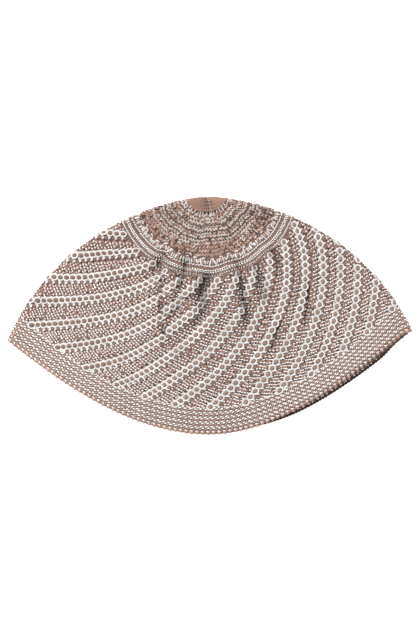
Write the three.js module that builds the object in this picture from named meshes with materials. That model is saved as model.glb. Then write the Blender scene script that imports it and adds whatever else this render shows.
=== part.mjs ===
// A knitted skullcap lying folded flat: two layers that join along a curved fold and open at the hem.
// Millimetres, +Z up. The cap lies on z = 0, its crown points to +Y and its mouth to -Y.
//
// A place on the cap is (along, around). Along runs from 0 at the crown's centre to 1 at the hem edge.
// Around runs from 0 to 1 once round the cap: from the right-hand fold over the upper layer to the
// left-hand fold at 0.5, and back along the lower layer.
import * as THREE from "three";

const { degToRad, lerp, smoothstep } = THREE.MathUtils;

// The cap's form, flat and unstretched, measured on the middle of the wall
const APEX_Y = 66.1; // the crown's centre, on the folded edge
const FOLD_ARC_RADIUS = 138.7; // each half of the folded edge is one arc, from the centre to a corner
const FOLD_START_SLOPE = degToRad(4.5); // of the folded edge beside the crown's centre
const FOLD_TURN = degToRad(60); // that the folded edge turns on its way to the corner
const MIDDLE_LENGTH = 135.2; // of the cloth from the crown's centre down the middle to the hem
const RING_SLOPE_AT_CROWN = degToRad(85.5); // of a knitted round where it meets the fold
const RING_SLOPE_AT_HEM = degToRad(39);

// The wall and how it lies
const WALL = 2.4;
const HEM_EXTRA = 0.6; // the hem band stands this much prouder than the wall
const FOLD_RADIUS = 3.2; // of the rolled fold
const FLOOR_GAP = 0.6; // that the ropes keep between the lower layer and the floor
const FOLD_Z = FLOOR_GAP + WALL / 2 + FOLD_RADIUS; // height of the folded edge
const PUFF = 8.5; // that the upper layer rises over the fold's own height
const PUFF_REACH = 34; // how far in from the fold the rise is nearly whole
const HEM_PULL = 2.2; // that the upper hem lies back from the lower one, right of the middle

// The knit
const ROPES = 25; // spiral ropes round the cap
const ROPE_START = 0.4956; // around, of one rope where it leaves the hem band
const ROPE_TWIST = 0.344; // turns that a rope winds for each unit along
const ROPE_HEIGHT = 1.1;
const ROPE_PROFILE = [1, 1, 0.35, 0, 0, 0.35]; // share of that height, for each column from rope to rope
const ROPE_COLUMNS = ROPES * ROPE_PROFILE.length;
const TUCK = { take: 0.012, from: 0.28, to: 0.39, backFrom: 0.55, backTo: 0.95 }; // around, of the ropes
const FLUTES = 24; // gathers round the crown's plain centre
const FLUTE_DEPTH = 0.5;

// Where each knitted zone starts and ends along the cap. A seam leaves a small gap between two zones.
const SEAM = 0.0038;
const ZONE = {
  crownCentre: { from: 0, to: 0.085 - SEAM },
  crown: { from: 0.085, to: 0.26 - SEAM },
  crownRing: { from: 0.26, to: 0.345 - SEAM },
  sideWall: { from: 0.345, to: 0.9 - SEAM },
  hemBand: { from: 0.9, to: 1 },
};

// Ridges across the crown, its ring and the hem: share of the zone, height over the wall, and thickness
const CROWN_RIDGES = [
  { share: 0, height: 0 },
  { share: 0.18, height: 0.5 },
  { share: 0.36, height: 0.05 },
  { share: 0.54, height: 0.5 },
  { share: 0.72, height: 0.05 },
  { share: 0.88, height: 0.6 },
  { share: 1, height: 0.1 },
];
const RING_RIDGES = [
  { share: 0, height: 0.1 },
  { share: 0.12, height: 0.7 },
  { share: 0.32, height: 0.6 },
  { share: 0.42, height: 0.1 },
  { share: 0.52, height: 0.7 },
  { share: 0.62, height: 0.1 },
  { share: 0.74, height: 0.7 },
  { share: 0.88, height: 0.1 },
  { share: 1, height: 0.3 },
];
const HEM_RIDGES = [
  { share: 0, height: 0 },
  { share: 0.12, height: HEM_EXTRA },
  { share: 0.88, height: HEM_EXTRA },
  { share: 1, height: 0, thickness: 0.6 },
];

// Creases where the side wall gathers under the ring. Across runs from -1 at the left fold to 1 at the
// right one, and a crease is given by where it starts and ends. Hold is the share of the way that it keeps
// its depth, and step is how far the cloth at its right lies over that at its left, as in a tuck.
const CREASE_HOLD = 0.4;
const BANK_HEIGHT = 0.3; // that the cloth beside a crease stands up, as a share of its depth
const BANK_REACH = 2.8; // of the banks, as a share of the crease's width
const STEP_REACH = 16; // how far from a tuck its upper side comes down again
const CREASES = {
  upper: [
    { from: 0.35, to: 0.69, acrossFrom: -0.39, acrossTo: -0.2, depth: 1.8, width: 2.6, hold: 0.8, step: 2 },
    { from: 0.26, to: 0.5, acrossFrom: -0.195, acrossTo: -0.215, depth: 4, width: 3.4 },
    { from: 0.32, to: 0.53, acrossFrom: -0.005, acrossTo: -0.09, depth: 4.2, width: 4.2 },
    { from: 0.29, to: 0.64, acrossFrom: 0.285, acrossTo: 0.215, depth: 4, width: 3.4, hold: 0.6 },
    { from: 0.34, to: 0.59, acrossFrom: 0.43, acrossTo: 0.36, depth: 2.8, width: 3.8 },
    { from: 0.33, to: 0.5, acrossFrom: 0.63, acrossTo: 0.56, depth: 2.4, width: 3.6 },
    { from: 0.3, to: 0.45, acrossFrom: -0.45, acrossTo: -0.47, depth: 2.6, width: 3 },
    { from: 0.44, to: 0.63, acrossFrom: 0.01, acrossTo: -0.14, depth: 2.4, width: 3.4 },
    { from: 0.43, to: 0.6, acrossFrom: -0.16, acrossTo: -0.25, depth: 2, width: 3.2 },
  ],
  lower: [
    { from: 0.3, to: 0.55, acrossFrom: -0.5, acrossTo: -0.42, depth: 1.2, width: 3 },
    { from: 0.3, to: 0.52, acrossFrom: -0.1, acrossTo: -0.08, depth: 1.4, width: 3 },
    { from: 0.3, to: 0.56, acrossFrom: 0.32, acrossTo: 0.26, depth: 1.3, width: 3 },
  ],
};

const RING_SAMPLES = 160; // along each half of a round, to measure its length
const FOLD_CROWDING = 0.6; // how much closer together the columns are at the folds
const GATHER_CROWDING = 0.4; // less so where the gathers lie, between the folds

const YARN = { tan: 0xb48d7a, white: 0xf0ede6, mix: 0xcdb6a8 };

/** Plan distance from the crown's centre down the middle, once the cloth has rolled over the fold. */
function middleDrop(along) {
  const cloth = MIDDLE_LENGTH * along;
  const quarter = (Math.PI / 2) * FOLD_RADIUS;
  if (cloth < quarter) return FOLD_RADIUS * (1 - Math.cos(cloth / FOLD_RADIUS));
  return FOLD_RADIUS + cloth - quarter;
}

/** The arc that one knitted round makes in plan, as a conic from the right fold to the left one. */
function roundConic(along) {
  const slope = FOLD_START_SLOPE + FOLD_TURN * along;
  const halfWidth = FOLD_ARC_RADIUS * (Math.sin(slope) - Math.sin(FOLD_START_SLOPE));
  const foldDrop = FOLD_ARC_RADIUS * (Math.cos(FOLD_START_SLOPE) - Math.cos(slope));
  const endSlope = lerp(RING_SLOPE_AT_CROWN, RING_SLOPE_AT_HEM, along);
  const controlDepth = halfWidth * Math.tan(endSlope);
  const sagShare = (middleDrop(along) - foldDrop) / controlDepth;
  return { halfWidth, foldY: APEX_Y - foldDrop, controlDepth, weight: sagShare / (1 - sagShare) };
}

/** How far a plan point lies in from the folded edge, and the outward direction there. */
function fromFold(x, y) {
  const dx = Math.abs(x) + FOLD_ARC_RADIUS * Math.sin(FOLD_START_SLOPE);
  const dy = y - (APEX_Y - FOLD_ARC_RADIUS * Math.cos(FOLD_START_SLOPE));
  const reach = Math.hypot(dx, dy);
  const side = x < 0 ? -1 : 1;
  return { inset: FOLD_ARC_RADIUS - reach, outX: (side * dx) / reach, outY: dy / reach };
}

/** A layer's height from the fold's level, and how steeply it climbs, at a distance in from the fold. */
function layerRise(inset, upper) {
  const short = FOLD_RADIUS - Math.min(Math.max(inset, 0), FOLD_RADIUS);
  const roll = Math.sqrt(FOLD_RADIUS ** 2 - short ** 2);
  const rollClimb = short / Math.max(roll, 1e-4);
  if (!upper) return { rise: roll, climb: rollClimb };
  const fall = Math.exp(-((inset / PUFF_REACH) ** 2));
  return {
    rise: roll + PUFF * (1 - fall),
    climb: rollClimb + (2 * PUFF * inset * fall) / PUFF_REACH ** 2,
  };
}

/** Half of a knitted round as points with the length so far, from the right fold to the left one. */
function halfRound(along, upper) {
  const { halfWidth, foldY, controlDepth, weight } = roundConic(along);
  const points = [];
  let length = 0;
  for (let k = 0; k <= RING_SAMPLES; k++) {
    const step = (1 - Math.cos((Math.PI * k) / RING_SAMPLES)) / 2;
    const [start, control, end] = [(1 - step) ** 2, 2 * weight * step * (1 - step), step ** 2];
    const total = start + control + end;
    const x = (halfWidth * (start - end)) / total;
    const y = foldY - (controlDepth * control) / total;
    const { rise } = layerRise(fromFold(x, y).inset, upper);
    const last = points.at(-1);
    if (last) length += Math.hypot(x - last.x, y - last.y, rise - last.rise);
    points.push({ x, y, rise, length });
  }
  return points;
}

const halfRounds = new Map();

/** The plan point at a share of the length of one half of a round. */
function planPoint(along, upper, share) {
  const key = `${upper} ${along.toFixed(6)}`;
  if (!halfRounds.has(key)) halfRounds.set(key, halfRound(along, upper));
  const points = halfRounds.get(key);
  const wanted = share * points.at(-1).length;
  const next = Math.max(1, points.findIndex((p) => p.length >= wanted));
  const [a, b] = [points[next - 1], points[next]];
  const part = (wanted - a.length) / Math.max(b.length - a.length, 1e-9);
  return { x: lerp(a.x, b.x, part), y: lerp(a.y, b.y, part), length: points.at(-1).length };
}

/** How deep the gathers press a layer in at a place. */
function creaseDepth(along, across, layer, halfLength) {
  let depth = 0;
  for (const crease of CREASES[layer]) {
    const { hold = CREASE_HOLD, step = 0 } = crease;
    const share = (along - crease.from) / (crease.to - crease.from);
    const fade = smoothstep(share, -0.05, 0.15) * (1 - smoothstep(share, hold, 1));
    const away = (across - lerp(crease.acrossFrom, crease.acrossTo, share)) * halfLength;
    const valley = Math.exp(-((away / crease.width) ** 2));
    const bank = Math.exp(-((away / (crease.width * BANK_REACH)) ** 2));
    const overlap = ((1 + Math.tanh(away / crease.width)) / 2) * Math.exp(-Math.abs(away) / STEP_REACH);
    const bowl = (1 + BANK_HEIGHT) * valley - BANK_HEIGHT * bank;
    depth += fade * (crease.depth * bowl - step * overlap);
  }
  return depth;
}

/** The middle of the wall at a place on the cap, and the outward direction. */
function capSurface(along, around) {
  const turn = around - Math.floor(around);
  const upper = turn <= 0.5;
  const share = upper ? turn * 2 : 2 - turn * 2;
  const across = 1 - 2 * share;
  const pulledHere = smoothstep(across, 0, 0.5) * (1 - smoothstep(across, 0.93, 1));
  const pulled = upper ? HEM_PULL * smoothstep(along, 0.7, 1) * pulledHere : 0;
  const { x, y, length } = planPoint(along - pulled / MIDDLE_LENGTH, upper, share);
  const { inset, outX, outY } = fromFold(x, y);
  const { rise, climb } = layerRise(inset, upper);
  const pressed = creaseDepth(along, across, upper ? "upper" : "lower", length / 2);
  const up = upper ? 1 : -1;
  return {
    point: new THREE.Vector3(x, y, FOLD_Z + up * (rise - pressed)),
    outward: new THREE.Vector3(outX * climb, outY * climb, up).normalize(),
  };
}

/** A point off the middle of the wall. Cloth that would pass through the floor is flattened on it. */
function offWall(along, around, distance) {
  const { point, outward } = capSurface(along, around);
  point.addScaledVector(outward, distance);
  point.z = Math.max(point.z, 0);
  return point;
}

/** Places round the cap at even steps, drawn closer together at the two folds. */
function foldedColumns(count, crowding = FOLD_CROWDING) {
  return Array.from({ length: count }, (_, j) => {
    const even = j / count;
    return even - (crowding * Math.sin(4 * Math.PI * even)) / (4 * Math.PI);
  });
}

/** How far round the cap a tuck draws in the cloth past it, which eases back underneath. */
function tuckShift(around) {
  const past = smoothstep(around, TUCK.from, TUCK.to);
  const back = smoothstep(around, TUCK.backFrom, TUCK.backTo);
  return TUCK.take * past * (1 - back);
}

/**
 * Places round the cap that wind with the ropes, one column after another. The column nearest each fold is
 * moved on to it, and its neighbours a little less, so that the folded edge stays a clean line.
 */
function ropeColumns(along) {
  const lead = ROPE_START - ROPE_TWIST * (ZONE.hemBand.from - along);
  const step = 1 / ROPE_COLUMNS;
  return Array.from({ length: ROPE_COLUMNS }, (_, j) => {
    const even = (((j - 0.5) * step + lead) % 1 + 1) % 1;
    const around = even - tuckShift(even);
    const columnsOff = (around - Math.round(around * 2) / 2) / step;
    const slip = columnsOff - Math.round(columnsOff);
    const share = 1 - smoothstep(Math.abs(columnsOff), 1, 4);
    return around - slip * share * step;
  });
}

/**
 * A closed knitted wall between an outer skin and an inner one. Each row gives its place along the cap and
 * how thick the wall is there. A wall whose first row is at the crown's centre closes there.
 */
function knitWall({ outerRows, innerRows, outerColumns, innerColumns, relief = () => 0 }) {
  const positions = [];
  const triangles = [];
  const addTriangle = (keepOrder, a, b, c) => {
    triangles.push(a.index, keepOrder ? b.index : c.index, keepOrder ? c.index : b.index);
  };
  const addLoop = (row, columns, side) =>
    columns(row.along).map((around, j) => {
      const half = (WALL / 2) * (row.thickness ?? 1);
      const point = offWall(row.along, around, side > 0 ? half + relief(row, j) : -half);
      return { index: positions.push(point) - 1, around: around - Math.floor(around) };
    });
  const addSkin = (rows, columns, side) => {
    const atCentre = rows[0].along === 0;
    const loops = rows.slice(atCentre ? 1 : 0).map((row) => addLoop(row, columns, side));
    const add = (a, b, c) => addTriangle(side > 0, a, b, c);
    const count = loops[0].length;
    if (atCentre) {
      const centre = new THREE.Vector3(0, APEX_Y + (side * WALL) / 2, FOLD_Z);
      const pole = { index: positions.push(centre) - 1 };
      loops[0].forEach((a, j) => add(pole, loops[0][(j + 1) % count], a));
    }
    for (let k = 1; k < loops.length; k++) {
      const [over, under] = [loops[k - 1], loops[k]];
      for (let j = 0; j < count; j++) {
        const next = (j + 1) % count;
        add(over[j], over[next], under[j]);
        add(over[next], under[next], under[j]);
      }
    }
    return { first: atCentre ? null : loops[0], last: loops.at(-1) };
  };
  const addRim = (outer, inner, facesCrown) => {
    const add = (a, b, c) => addTriangle(facesCrown, a, b, c);
    const [rimA, rimB] = [fromStart(outer), fromStart(inner)];
    let [a, b] = [0, 0];
    while (a < outer.length || b < inner.length) {
      const outerIsNext = b === inner.length || rimA[a + 1]?.around <= rimB[b + 1].around;
      if (outerIsNext) add(rimA[a], rimB[b], rimA[++a]);
      else add(rimA[a], rimB[b], rimB[++b]);
    }
  };
  const outer = addSkin(outerRows, outerColumns, 1);
  const inner = addSkin(innerRows, innerColumns, -1);
  if (outer.first) addRim(outer.first, inner.first, true);
  addRim(outer.last, inner.last, false);
  const geometry = new THREE.BufferGeometry().setFromPoints(positions);
  geometry.setIndex(triangles);
  geometry.computeVertexNormals();
  return geometry;
}

/** A loop's places in order from the right-hand fold, with the first one again at the end. */
function fromStart(loop) {
  const ordered = [...loop].sort((a, b) => a.around - b.around);
  return [...ordered, { ...ordered[0], around: ordered[0].around + 1 }];
}

/** Rows at even steps through a zone. */
function evenRows({ from, to }, count) {
  return Array.from({ length: count }, (_, k) => ({ along: lerp(from, to, k / (count - 1)) }));
}

/** Rows where a table of ridges puts them, each with its ridge's height. */
function ridgeRows({ from, to }, ridges) {
  return ridges.map(({ share, ...ridge }) => ({ along: lerp(from, to, share), ...ridge }));
}

/** The plain centre of the crown, drawn up in flutes. */
function crownCentreGeometry() {
  return knitWall({
    outerRows: evenRows(ZONE.crownCentre, 4),
    innerRows: evenRows(ZONE.crownCentre, 3),
    outerColumns: () => foldedColumns(FLUTES * 2),
    innerColumns: () => foldedColumns(FLUTES),
    relief: (row, column) => (column % 2 ? -FLUTE_DEPTH : 0),
  });
}

/** A zone of raised and sunken rounds. */
function ridgedGeometry(zone, ridges, { columns, innerColumns = columns / 2, crowding = FOLD_CROWDING }) {
  const rows = ridgeRows(zone, ridges);
  return knitWall({
    outerRows: rows,
    innerRows: [rows[0], rows[Math.floor(rows.length / 2)], rows.at(-1)],
    outerColumns: () => foldedColumns(columns, crowding),
    innerColumns: () => foldedColumns(innerColumns, crowding),
    relief: (row) => row.height,
  });
}

/** The ring, whose two faces follow the gathers alike. */
function crownRingGeometry() {
  const columns = 64;
  const crowding = GATHER_CROWDING;
  return ridgedGeometry(ZONE.crownRing, RING_RIDGES, { columns, innerColumns: columns, crowding });
}

/** The side wall, with a raised rope in every few columns, wound round the cap. */
function sideWallGeometry() {
  return knitWall({
    outerRows: evenRows(ZONE.sideWall, 21),
    innerRows: evenRows(ZONE.sideWall, 11),
    outerColumns: ropeColumns,
    innerColumns: () => foldedColumns(80, GATHER_CROWDING),
    relief: (row, column) => ROPE_HEIGHT * ROPE_PROFILE[column % ROPE_PROFILE.length],
  });
}

function piece(name, geometry, color) {
  const yarn = new THREE.MeshStandardMaterial({ color, roughness: 0.95, metalness: 0 });
  const mesh = new THREE.Mesh(geometry, yarn);
  mesh.name = name;
  return mesh;
}

const skullcap = new THREE.Group();
skullcap.add(
  piece("crown_centre", crownCentreGeometry(), YARN.tan),
  piece("crown", ridgedGeometry(ZONE.crown, CROWN_RIDGES, { columns: 48 }), YARN.mix),
  piece("crown_ring", crownRingGeometry(), YARN.white),
  piece("side_wall", sideWallGeometry(), YARN.mix),
  piece("hem_band", ridgedGeometry(ZONE.hemBand, HEM_RIDGES, { columns: 88 }), YARN.mix),
);

export default skullcap;
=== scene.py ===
"""A knitted two-colour skullcap that lies folded flat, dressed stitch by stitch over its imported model."""
import logging
import math
from collections.abc import Iterator
from dataclasses import KW_ONLY, dataclass, field, replace
from enum import Enum

import bpy
import numpy as np
from mathutils import Matrix, Vector


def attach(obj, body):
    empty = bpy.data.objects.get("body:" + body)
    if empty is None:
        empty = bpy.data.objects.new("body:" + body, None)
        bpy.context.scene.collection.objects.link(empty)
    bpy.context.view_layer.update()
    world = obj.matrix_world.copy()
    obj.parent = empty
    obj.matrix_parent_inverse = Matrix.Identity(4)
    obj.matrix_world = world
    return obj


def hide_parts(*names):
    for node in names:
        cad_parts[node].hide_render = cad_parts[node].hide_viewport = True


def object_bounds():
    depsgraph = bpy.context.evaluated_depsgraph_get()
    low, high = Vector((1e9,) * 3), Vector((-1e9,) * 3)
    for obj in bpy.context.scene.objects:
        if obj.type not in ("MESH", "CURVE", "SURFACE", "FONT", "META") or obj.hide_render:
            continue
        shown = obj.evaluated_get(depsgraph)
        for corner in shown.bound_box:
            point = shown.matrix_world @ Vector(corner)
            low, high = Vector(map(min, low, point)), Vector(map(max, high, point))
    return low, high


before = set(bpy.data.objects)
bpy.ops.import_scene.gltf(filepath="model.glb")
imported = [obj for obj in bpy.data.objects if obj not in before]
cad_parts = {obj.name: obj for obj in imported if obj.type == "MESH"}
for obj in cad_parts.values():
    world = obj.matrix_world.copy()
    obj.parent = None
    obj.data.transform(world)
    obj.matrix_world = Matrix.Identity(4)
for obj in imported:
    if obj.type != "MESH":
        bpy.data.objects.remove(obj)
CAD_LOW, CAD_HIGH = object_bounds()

Array = np.ndarray
Values = np.ndarray | float
Pair = tuple[float, float]
Triple = tuple[float, float, float]
Window = tuple[float, float, float, float]
Tree = bpy.types.NodeTree
Socket = bpy.types.NodeSocket
Outputs = bpy.types.NodeOutputs
NodeInputs = dict[str | int, object]

LOG = logging.getLogger("skullcap")
MM = 0.001
TINY = 1e-9
FLOOR_CLEARANCE = 0.02 * MM
# Colour that the yarn is multiplied by, as painted shade, deep in the creases
DEEP_SHADE = (0.4, 0.385, 0.375)

# Slant of a stitch that points straight down the cap
DOWN = math.pi / 2

# The picture's frame, in pixels, and where the cap lies in it
PICTURE_WIDTH, PICTURE_HEIGHT = 420, 630
CAP_WIDTH_PX = 403.2
CAP_CENTRE_PX = (209.5, 314.0)
CAP_ROLL = math.radians(1.4)


def smooth(value: Values, low: float, high: float) -> Array:
    """Ease from 0 at low to 1 at high."""
    share = np.clip((np.asarray(value, float) - low) / (high - low), 0.0, 1.0)
    return share * share * (3.0 - 2.0 * share)


def window(value: Values, rise_from: float, rise_to: float, fall_from: float, fall_to: float) -> Array:
    """Ease from 0 up to 1 and, further on, back to 0."""
    return smooth(value, rise_from, rise_to) * (1 - smooth(value, fall_from, fall_to))


def bell(off: Values, width: float) -> Array:
    """A smooth bump, 1 in its middle, that dies away over its width to each side."""
    return np.exp(-((off / width) ** 2))


def unit(vectors: Array) -> Array:
    """Vectors of the same directions, one unit long."""
    return vectors / np.maximum(np.linalg.norm(vectors, axis=1, keepdims=True), TINY)


class Layer(Enum):
    """The two layers of the folded cap."""

    UPPER = 1.0
    LOWER = -1.0


@dataclass(frozen=True)
class Crease:
    """A gather that presses one layer in, from one place to another.

    Depth, width, pull, step and reach are in millimetres. Pull is how far the cloth at each side is drawn in,
    step is how far the right side lies over the left one, and reach is how far off both are felt. Hold is the
    share of the way that the crease keeps its depth.
    """

    layer: Layer
    along_from: float
    along_to: float
    across_from: float
    across_to: float
    depth: float
    width: float
    pull: float = 0.0
    step: float = 0.0
    hold: float = 0.4
    reach: float = 16.0


@dataclass(frozen=True)
class Ripple:
    """A place where the crown's ring strays: how far towards the hem, in millimetres, and how wide across."""

    across: float
    shift: float
    width: float


@dataclass
class Gather:
    """What the creases do to places of the cloth, in millimetres, with the valley's tilt."""

    sink: Array
    across: Array
    along: Array
    tilt: Array


@dataclass
class StitchPlan:
    """Places, turns, sizes, shades and painted crease shade of many stitches, in metres."""

    points: Array
    turns: Array
    sizes: Array
    shades: Array
    painted_shades: Array


@dataclass
class CapForm:
    """The middle of the cap's wall, in millimetres.

    A place is (along, around): along runs from 0 at the crown's centre to 1 at the hem edge, and around runs
    from 0 at the right-hand fold over the upper layer to 0.5 at the left-hand fold and back underneath.
    """

    apex_y: float = 66.1
    fold_arc_radius: float = 138.7
    fold_start_slope: float = math.radians(4.5)
    fold_turn: float = math.radians(60)
    middle_length: float = 135.2
    round_slope_at_crown: float = math.radians(85.5)
    round_slope_at_hem: float = math.radians(39)
    wall: float = 2.4
    fold_radius: float = 3.2
    least_roll: float = 1e-4
    floor_gap: float = 0.6
    puff: float = 8.5
    puff_reach: float = 34.0
    hem_pull: float = 2.2
    hem_pull_across: Window = (0.0, 0.5, 0.93, 1.0)
    hem_pull_along: Pair = (0.7, 1.0)
    table_rows: int = 321
    table_columns: int = 401
    round_steps: int = 1203
    look_step: float = 0.002
    crease_start: Pair = (-0.05, 0.15)
    tightest_squeeze: float = 0.2
    steepest_tilt: float = 1.15
    bank_height: float = 0.3
    bank_reach: float = 2.8
    deep_crease: float = 3.2
    creases: tuple[Crease, ...] = (
        Crease(Layer.UPPER, 0.34, 0.69, -0.4, -0.21, 2.8, 2.0, 0.6, 2.0, hold=0.8),
        Crease(Layer.UPPER, 0.27, 0.5, -0.225, -0.215, 4.0, 2.5, 0.5),
        Crease(Layer.UPPER, 0.32, 0.53, -0.005, -0.09, 4.8, 4.2, 0.4),
        Crease(Layer.UPPER, 0.29, 0.64, 0.285, 0.215, 4.2, 2.9, 0.7, 0.5, hold=0.6),
        Crease(Layer.UPPER, 0.34, 0.59, 0.43, 0.36, 3.0, 3.8, 0.3),
        Crease(Layer.UPPER, 0.33, 0.5, 0.63, 0.56, 2.6, 3.6, 0.3),
        Crease(Layer.UPPER, 0.3, 0.45, -0.45, -0.47, 2.8, 2.8, 0.3),
        Crease(Layer.UPPER, 0.44, 0.63, 0.01, -0.14, 2.6, 3.4, 0.2),
        Crease(Layer.UPPER, 0.43, 0.6, -0.16, -0.25, 2.2, 3.2, 0.2),
        Crease(Layer.UPPER, 0.54, 0.75, 0.68, 0.46, 2.3, 2.4),
        Crease(Layer.UPPER, 0.6, 0.78, 0.42, 0.26, 2.0, 2.2),
        Crease(Layer.LOWER, 0.3, 0.55, -0.5, -0.42, 1.2, 3.0, 1.0),
        Crease(Layer.LOWER, 0.3, 0.52, -0.1, -0.08, 1.4, 3.0, 1.0),
        Crease(Layer.LOWER, 0.3, 0.56, 0.32, 0.26, 1.3, 3.0, 1.0),
    )
    ripple_along: Window = (0.2, 0.26, 0.36, 0.46)
    ripples: tuple[Ripple, ...] = (
        Ripple(-0.47, -1.8, 0.045),
        Ripple(0.04, 0.8, 0.08),
        Ripple(0.23, -0.6, 0.09),
        Ripple(0.56, -0.9, 0.09),
    )
    fold_z: float = field(init=False)
    plans: dict[Layer, Array] = field(init=False)
    lengths: dict[Layer, Array] = field(init=False)

    def __post_init__(self) -> None:
        """Measure every round once, so that a place is then looked up."""
        self.fold_z = self.floor_gap + self.wall / 2 + self.fold_radius
        self.plans, self.lengths = {}, {}
        for layer in Layer:
            rows = [self._half_round(t, layer) for t in np.linspace(0.0, 1.0, self.table_rows)]
            self.plans[layer] = np.array([row[0] for row in rows])
            self.lengths[layer] = np.array([row[1] for row in rows])

    def _from_fold(self, x: Array, y: Array) -> tuple[Array, Array, Array]:
        """Distance in from the folded edge, with the outward direction.

        Args:
            x: plan places.
            y: plan places.

        Returns:
            The inset and the outward direction's two parts.
        """
        dx = np.abs(x) + self.fold_arc_radius * math.sin(self.fold_start_slope)
        dy = y - (self.apex_y - self.fold_arc_radius * math.cos(self.fold_start_slope))
        reach = np.hypot(dx, dy)
        return self.fold_arc_radius - reach, np.where(x < 0, -dx, dx) / reach, dy / reach

    def _rise(self, inset: Array, layer: Layer) -> tuple[Array, Array]:
        """Height from the fold's level, and how steeply the layer climbs.

        Args:
            inset: distance in from the folded edge.
            layer: which layer.

        Returns:
            The height and the climb.
        """
        short = self.fold_radius - np.clip(inset, 0.0, self.fold_radius)
        roll = np.sqrt(self.fold_radius**2 - short**2)
        climb = short / np.maximum(roll, self.least_roll)
        if layer is Layer.LOWER:
            return roll, climb
        fall = bell(inset, self.puff_reach)
        return roll + self.puff * (1 - fall), climb + 2 * self.puff * inset * fall / self.puff_reach**2

    def _half_round(self, along: float, layer: Layer) -> tuple[Array, float]:
        """Half of one knitted round at even steps of its length, from the right fold to the left one.

        Args:
            along: place along the cap.
            layer: which layer.

        Returns:
            Plan points and the half round's length.
        """
        slope = self.fold_start_slope + self.fold_turn * along
        half_width = self.fold_arc_radius * (math.sin(slope) - math.sin(self.fold_start_slope))
        fold_drop = self.fold_arc_radius * (math.cos(self.fold_start_slope) - math.cos(slope))
        cloth, quarter = self.middle_length * along, math.pi / 2 * self.fold_radius
        rolled = self.fold_radius * (1 - math.cos(min(cloth, quarter) / self.fold_radius))
        drop = rolled + max(cloth - quarter, 0.0)
        end_slope = self.round_slope_at_crown + (self.round_slope_at_hem - self.round_slope_at_crown) * along
        depth = max(half_width * math.tan(end_slope), TINY)
        sag = (drop - fold_drop) / depth
        weight = sag / (1 - sag)
        step = (1 - np.cos(np.linspace(0.0, math.pi, self.round_steps))) / 2
        first, middle, last = (1 - step) ** 2, 2 * weight * step * (1 - step), step**2
        total = first + middle + last
        x = half_width * (first - last) / total
        y = self.apex_y - fold_drop - depth * middle / total
        rise, _ = self._rise(self._from_fold(x, y)[0], layer)
        steps = np.sqrt(np.diff(x) ** 2 + np.diff(y) ** 2 + np.diff(rise) ** 2)
        gone = np.concatenate([[0.0], np.cumsum(steps)])
        wanted = np.linspace(0.0, gone[-1], self.table_columns)
        return np.stack([np.interp(wanted, gone, x), np.interp(wanted, gone, y)], axis=1), float(gone[-1])

    def _layer_length(self, along: Values, layer: Layer) -> Array:
        """Length of a layer's part of a round, in millimetres."""
        return np.interp(along, np.linspace(0.0, 1.0, self.table_rows), self.lengths[layer])

    def round_length(self, along: Values) -> Array:
        """Length of a whole round, in millimetres."""
        return sum(self._layer_length(along, layer) for layer in Layer)

    def surface(self, along: Array, around: Array, tilted: bool = True) -> tuple[Array, Array]:
        """The middle of the wall and the outward direction.

        Args:
            along: places along the cap.
            around: places round it.
            tilted: whether the outward direction leans with the creases.

        Returns:
            Points in millimetres and unit directions.
        """
        points, outward = np.zeros((along.size, 3)), np.zeros((along.size, 3))
        for layer, chosen, share in self._by_layer(around):
            points[chosen], outward[chosen] = self._layer_surface(along[chosen], share, layer, tilted)
        return points, outward

    def painted_shade(self, along: Array, around: Array) -> Array:
        """How much painted shade places get, from how deep they lie in the creases.

        Args:
            along: places along the cap.
            around: places round it.

        Returns:
            Shares from 0 on the open cloth to 1 in the deepest creases.
        """
        deep = np.zeros(along.size)
        for layer, chosen, share in self._by_layer(around):
            half = self._layer_length(along[chosen], layer) / 2
            sink = self._gather(along[chosen], 1 - 2 * share, layer, half).sink
            # painted shade grows with how deep the cloth sinks in the creases
            deep[chosen] = smooth(sink, 0.0, self.deep_crease)
        return deep

    def _by_layer(self, around: Array) -> Iterator[tuple[Layer, Array, Array]]:
        """Sort places round the cap by layer.

        Args:
            around: places round the cap.

        Yields:
            Each layer, which places lie on it, and their shares of the way from the right fold to the left.
        """
        turn = around % 1.0
        for layer in Layer:
            chosen = turn <= 0.5 if layer is Layer.UPPER else turn > 0.5
            if chosen.any():
                yield layer, chosen, 2 * turn[chosen] if layer is Layer.UPPER else 2 - 2 * turn[chosen]

    def _layer_surface(self, along: Array, share: Array, layer: Layer, tilted: bool) -> tuple[Array, Array]:
        """The surface of one layer.

        Args:
            along: places along the cap.
            share: share of the way from the right fold to the left one.
            layer: which layer.
            tilted: whether the outward direction leans with the creases.

        Returns:
            Points in millimetres and unit directions.
        """
        across = 1 - 2 * share
        half = self._layer_length(along, layer) / 2
        gather = self._gather(along, across, layer, half)
        reached = along + gather.along / self.middle_length
        if layer is Layer.UPPER:
            pulled = window(across, *self.hem_pull_across) * smooth(along, *self.hem_pull_along)
            reached = reached - self.hem_pull * pulled / self.middle_length
        moved = share - gather.across / (2 * half)
        row = np.clip(reached, 0.0, 1.0) * (self.table_rows - 1)
        column = np.clip(moved, 0.0, 1.0) * (self.table_columns - 1)
        i = np.minimum(row.astype(int), self.table_rows - 2)
        j = np.minimum(column.astype(int), self.table_columns - 2)
        a, b = (row - i)[:, None], (column - j)[:, None]
        plan = self.plans[layer]
        near = plan[i, j] * (1 - b) + plan[i, j + 1] * b
        far = plan[i + 1, j] * (1 - b) + plan[i + 1, j + 1] * b
        x, y = (near * (1 - a) + far * a).T
        inset, out_x, out_y = self._from_fold(x, y)
        rise, climb = self._rise(inset, layer)
        up = layer.value
        points = np.stack([x, y, self.fold_z + up * (rise - gather.sink)], axis=1)
        outward = np.stack([out_x * climb, out_y * climb, np.full_like(x, up)], axis=1)
        if tilted:
            outward[:, :2] += unit(plan[i + 1, j] - plan[i + 1, j + 1]) * gather.tilt[:, None]
        return points, unit(outward)

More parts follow.
